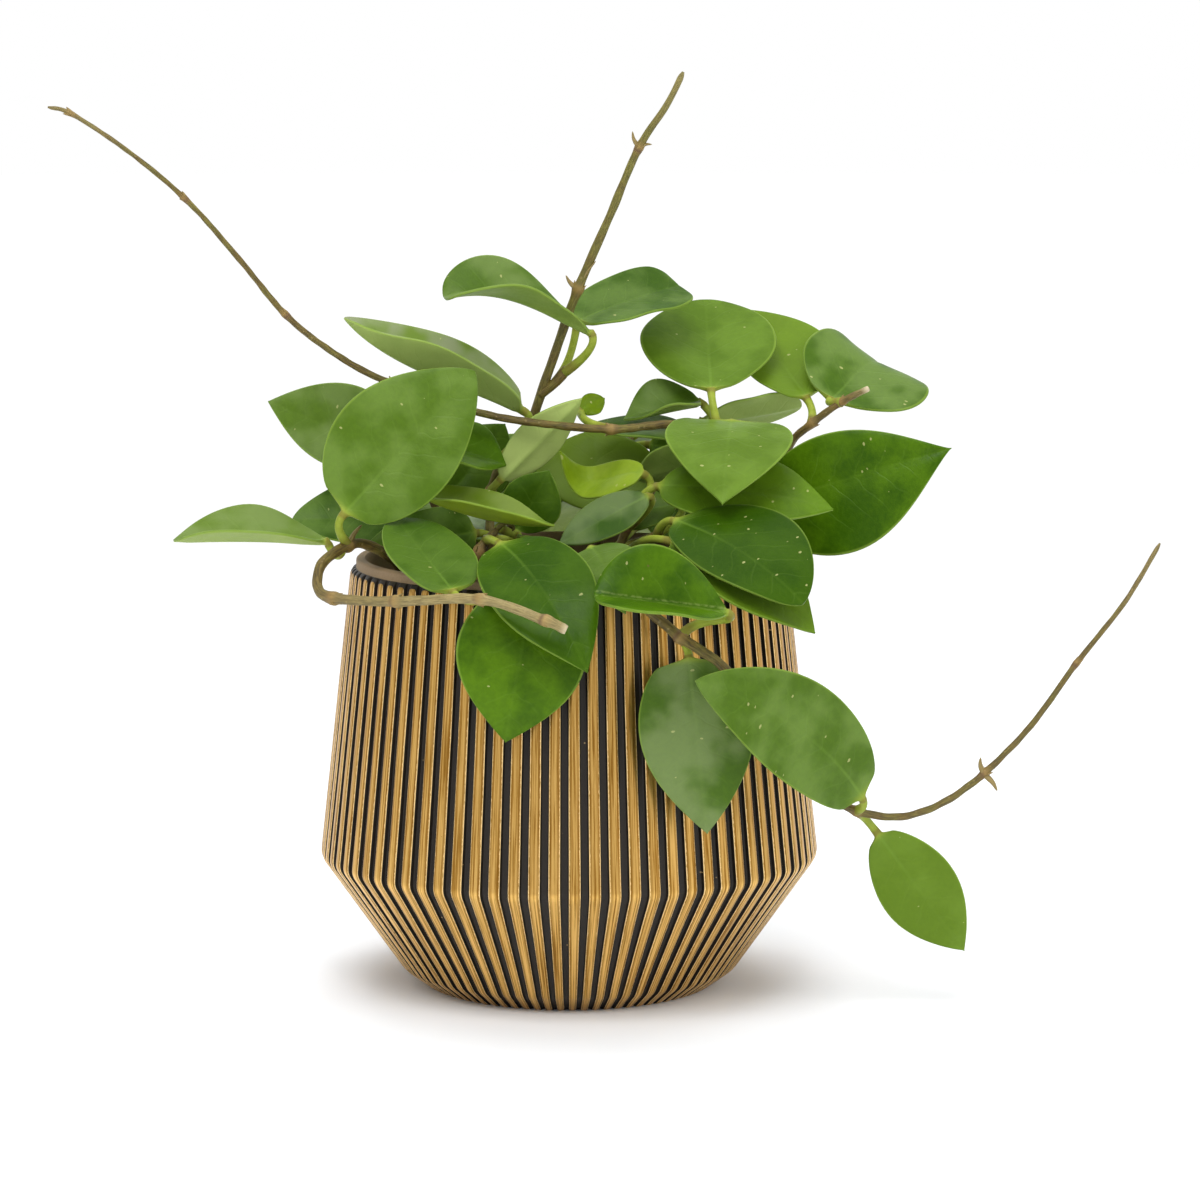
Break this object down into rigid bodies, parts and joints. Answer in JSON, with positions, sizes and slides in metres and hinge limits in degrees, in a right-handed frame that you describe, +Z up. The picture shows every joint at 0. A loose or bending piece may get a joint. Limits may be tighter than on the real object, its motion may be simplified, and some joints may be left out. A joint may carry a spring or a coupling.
{
  "type": "potted hoya chouke",
  "caption": "Potted hoya with thick oval leaves and long bare shoots, in a round ribbed pot that is widest low down and narrows to its foot and rim.",
  "frame": {"origin": "middle of the pot's foot, on the surface that it stands on", "axes": "+Z up along the pot's axis; +X to the right and +Y away from the front, where the leaves hang over the rim"},
  "size_m": [0.3387, 0.1908, 0.2824],
  "materials": {
    "pot_glaze": "satin",
    "soil": "matte",
    "stem": "satin",
    "leaf": "satin",
    "young_leaf": "satin"
  },
  "bodies": {
    "root": {"pot": "pot_glaze", "soil": "soil", "stem_upright": "stem", "stem_tendril": "stem", "stem_right": "stem", "stem_trailing": "stem", "stem_left_front": "stem", "stem_left_inner": "stem", "stem_inner": "stem", "stem_front_inner": "stem", "stem_front_right": "stem", "stem_back": "stem", "leaf_01": "leaf", "leaf_02": "leaf", "leaf_03": "leaf", "leaf_04": "leaf", "leaf_05": "leaf", "leaf_06": "leaf", "leaf_07": "leaf", "leaf_08": "leaf", "leaf_09": "leaf", "leaf_10": "leaf", "leaf_11": "leaf", "leaf_12": "leaf", "leaf_13": "leaf", "leaf_14": "leaf", "leaf_15": "leaf", "leaf_16": "leaf", "leaf_17": "leaf", "leaf_18": "leaf", "leaf_19": "leaf", "leaf_20": "leaf", "leaf_21": "leaf", "leaf_22": "leaf", "leaf_23": "young_leaf", "leaf_24": "leaf", "leaf_25": "leaf", "leaf_26": "young_leaf", "leaf_27": "leaf", "leaf_28": "leaf", "leaf_29": "leaf", "leaf_30": "leaf", "leaf_31": "young_leaf", "leaf_32": "leaf", "leaf_33": "leaf", "leaf_34": "leaf", "leaf_35": "leaf", "leaf_36": "leaf", "leaf_37": "leaf", "leaf_38": "leaf", "leaf_39": "leaf", "leaf_40": "leaf", "leaf_41": "leaf", "leaf_42": "leaf", "leaf_43": "leaf", "leaf_44": "leaf", "leaf_45": "leaf", "leaf_46": "leaf", "leaf_47": "leaf", "leaf_48": "leaf"}
  },
  "joints": []
}
